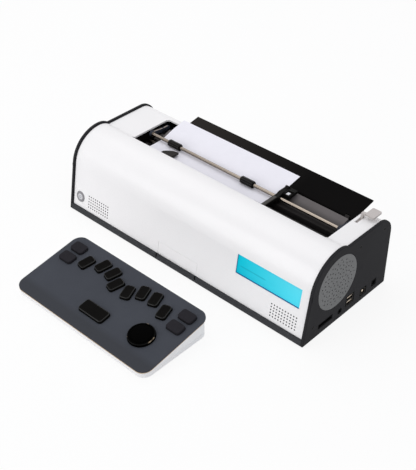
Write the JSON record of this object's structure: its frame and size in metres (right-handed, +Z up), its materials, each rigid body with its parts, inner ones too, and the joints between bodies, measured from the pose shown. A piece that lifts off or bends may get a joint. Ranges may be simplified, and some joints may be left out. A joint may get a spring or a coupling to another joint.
{
  "type": "braille writer",
  "caption": "Round-fronted desktop braille embosser with an open paper deck, pinch rod, rest flap and display, and a separate low braille keyboard.",
  "frame": {"origin": "middle of the whole set's box, on the surface that its feet stand on", "axes": "+X along the machine to the end with the sockets, +Y from the keyboard to the machine's rear, +Z up"},
  "size_m": [0.426, 0.3428, 0.116],
  "materials": {
    "white_shell": "satin white moulding",
    "charcoal_panel": "fine matte charcoal",
    "black_plastic": "fine matte black",
    "bright_steel": "ground bar",
    "grey_grille": "matte mid grey",
    "warm_grey": "satin warm grey",
    "soft_rubber": "matte",
    "display": "lit cyan window",
    "circuit": "green laminate",
    "motor_case": "plated can",
    "cell_wrap": "shrink wrap",
    "gear_plastic": "natural acetal",
    "gear_brass": "cut brass",
    "sheet_paper": "plain braille paper",
    "slate_plate": "fine matte slate",
    "key_black": "satin black",
    "pad_black": "gloss black"
  },
  "bodies": {
    "machine": {"base_tray": "black_plastic", "top_cover": "white_shell", "front_hatch": "white_shell", "left_panel": "charcoal_panel", "right_panel": "charcoal_panel", "chassis_plates": "black_plastic", "panel_screws": "bright_steel", "lcd_module": "circuit", "lcd_window": "display", "speaker_grille": "grey_grille", "speaker": "black_plastic", "card_slot": "black_plastic", "audio_jack": "black_plastic", "usb_sockets": "bright_steel", "dc_inlet": "black_plastic", "main_board": "circuit", "battery_pack": "cell_wrap", "feet": "soft_rubber", "paper_bed": "black_plastic", "anvil_bar": "bright_steel", "pivot_pins": "bright_steel", "carriage_rails": "bright_steel", "carriage_motor": "motor_case", "feed_motor": "motor_case", "paper_sheet": "sheet_paper"},
    "flap": {"rest_flap": "black_plastic"},
    "lever": {"release_lever": "warm_grey"},
    "bail": {"bail_arms": "black_plastic"},
    "rod": {"pinch_rod": "bright_steel", "pinch_rollers": "soft_rubber"},
    "guide": {"edge_guide": "black_plastic"},
    "feeder": {"feed_shaft": "bright_steel", "feed_tyres": "soft_rubber", "feed_gear": "gear_plastic"},
    "pinion": {"feed_pinion": "gear_brass"},
    "carriage": {"carriage": "black_plastic"},
    "embosser": {"emboss_pins": "bright_steel"},
    "screw": {"lead_screw": "bright_steel"},
    "power": {"power_button": "warm_grey"},
    "keyboard": {"kb_base": "white_shell", "kb_plate": "slate_plate", "kb_board": "circuit", "key_switches": "black_plastic", "kb_battery": "cell_wrap", "kb_feet": "soft_rubber"},
    "key_dot7": {"key_dot7": "key_black"},
    "key_dot3": {"key_dot3": "key_black"},
    "key_dot2": {"key_dot2": "key_black"},
    "key_dot1": {"key_dot1": "key_black"},
    "key_dot4": {"key_dot4": "key_black"},
    "key_dot5": {"key_dot5": "key_black"},
    "key_dot6": {"key_dot6": "key_black"},
    "key_dot8": {"key_dot8": "key_black"},
    "key_left_lower": {"key_left_lower": "key_black"},
    "key_left_upper": {"key_left_upper": "key_black"},
    "key_right_lower": {"key_right_lower": "key_black"},
    "key_right_upper": {"key_right_upper": "key_black"},
    "space_bar": {"space_bar": "key_black"},
    "round_pad": {"round_pad": "pad_black"}
  },
  "joints": [
    {"name": "flap_hinge", "type": "hinge", "parent": "machine", "child": "flap", "pos_m": [0, 0.13191, 0.1036], "axis": [1, 0, 0], "range_deg": [0, 75], "deforming": ["paper_sheet"]},
    {"name": "lever_hinge", "type": "hinge", "parent": "machine", "child": "lever", "pos_m": [0.187, 0.13441, 0.082], "axis": [1, 0, 0], "range_deg": [0, 24]},
    {"name": "bail_hinge", "type": "hinge", "parent": "machine", "child": "bail", "pos_m": [0, 0.12541, 0.10095], "axis": [1, 0, 0], "range_deg": [-8.2, 0]},
    {"name": "rod_spin", "type": "hinge", "parent": "bail", "child": "rod", "pos_m": [0, 0.10441, 0.10395], "axis": [1, 0, 0], "continuous": true},
    {"name": "guide_slide", "type": "slide", "parent": "bail", "child": "guide", "axis": [1, 0, 0], "range_m": [0, 0.08]},
    {"name": "feed_spin", "type": "hinge", "parent": "machine", "child": "feeder", "pos_m": [0, 0.10441, 0.09035], "axis": [1, 0, 0], "continuous": true},
    {"name": "pinion_spin", "type": "hinge", "parent": "machine", "child": "pinion", "pos_m": [0.185, 0.10441, 0.07235], "axis": [1, 0, 0], "continuous": true},
    {"name": "carriage_slide", "type": "slide", "parent": "machine", "child": "carriage", "axis": [1, 0, 0], "range_m": [0, 0.235]},
    {"name": "emboss_press", "type": "slide", "parent": "carriage", "child": "embosser", "axis": [0, 0, -1], "range_m": [0, 0.0008], "stiffness_N_per_m": 200, "springref_m": -0.001},
    {"name": "screw_spin", "type": "hinge", "parent": "machine", "child": "screw", "pos_m": [0, 0.03641, 0.0735], "axis": [1, 0, 0], "continuous": true},
    {"name": "power_press", "type": "slide", "parent": "machine", "child": "power", "axis": [0, 0.9859, -0.1673], "range_m": [0, 0.0015], "stiffness_N_per_m": 300, "springref_m": -0.001},
    {"name": "keyboard_shift", "type": "slide", "parent": "machine", "child": "keyboard", "axis": [0, 1, 0], "range_m": [-0.1, 0.04]},
    {"name": "key_press_dot7", "type": "slide", "parent": "keyboard", "child": "key_dot7", "axis": [0, 0.1607, -0.987], "range_m": [0, 0.0018], "stiffness_N_per_m": 300, "springref_m": -0.001},
    {"name": "key_press_dot3", "type": "slide", "parent": "keyboard", "child": "key_dot3", "axis": [0, 0.1607, -0.987], "range_m": [0, 0.0018], "stiffness_N_per_m": 300, "springref_m": -0.001},
    {"name": "key_press_dot2", "type": "slide", "parent": "keyboard", "child": "key_dot2", "axis": [0, 0.1607, -0.987], "range_m": [0, 0.0018], "stiffness_N_per_m": 300, "springref_m": -0.001},
    {"name": "key_press_dot1", "type": "slide", "parent": "keyboard", "child": "key_dot1", "axis": [0, 0.1607, -0.987], "range_m": [0, 0.0018], "stiffness_N_per_m": 300, "springref_m": -0.001},
    {"name": "key_press_dot4", "type": "slide", "parent": "keyboard", "child": "key_dot4", "axis": [0, 0.1607, -0.987], "range_m": [0, 0.0018], "stiffness_N_per_m": 300, "springref_m": -0.001},
    {"name": "key_press_dot5", "type": "slide", "parent": "keyboard", "child": "key_dot5", "axis": [0, 0.1607, -0.987], "range_m": [0, 0.0018], "stiffness_N_per_m": 300, "springref_m": -0.001},
    {"name": "key_press_dot6", "type": "slide", "parent": "keyboard", "child": "key_dot6", "axis": [0, 0.1607, -0.987], "range_m": [0, 0.0018], "stiffness_N_per_m": 300, "springref_m": -0.001},
    {"name": "key_press_dot8", "type": "slide", "parent": "keyboard", "child": "key_dot8", "axis": [0, 0.1607, -0.987], "range_m": [0, 0.0018], "stiffness_N_per_m": 300, "springref_m": -0.001},
    {"name": "key_press_left_lower", "type": "slide", "parent": "keyboard", "child": "key_left_lower", "axis": [0, 0.1607, -0.987], "range_m": [0, 0.0018], "stiffness_N_per_m": 300, "springref_m": -0.001},
    {"name": "key_press_left_upper", "type": "slide", "parent": "keyboard", "child": "key_left_upper", "axis": [0, 0.1607, -0.987], "range_m": [0, 0.0018], "stiffness_N_per_m": 300, "springref_m": -0.001},
    {"name": "key_press_right_lower", "type": "slide", "parent": "keyboard", "child": "key_right_lower", "axis": [0, 0.1607, -0.987], "range_m": [0, 0.0018], "stiffness_N_per_m": 300, "springref_m": -0.001},
    {"name": "key_press_right_upper", "type": "slide", "parent": "keyboard", "child": "key_right_upper", "axis": [0, 0.1607, -0.987], "range_m": [0, 0.0018], "stiffness_N_per_m": 300, "springref_m": -0.001},
    {"name": "key_press_space_bar", "type": "slide", "parent": "keyboard", "child": "space_bar", "axis": [0, 0.1607, -0.987], "range_m": [0, 0.0018], "stiffness_N_per_m": 300, "springref_m": -0.001},
    {"name": "key_press_round_pad", "type": "slide", "parent": "keyboard", "child": "round_pad", "axis": [0, 0.1607, -0.987], "range_m": [0, 0.0018], "stiffness_N_per_m": 300, "springref_m": -0.001}
  ],
  "couplings": [
    {"joint": "bail_hinge", "follows": "lever_hinge", "ratio": -0.34167},
    {"joint": "rod_spin", "follows": "feed_spin", "ratio": -1.6},
    {"joint": "pinion_spin", "follows": "feed_spin", "ratio": -2},
    {"joint": "screw_spin", "follows": "carriage_slide", "rad_per_m": 261.8}
  ]
}
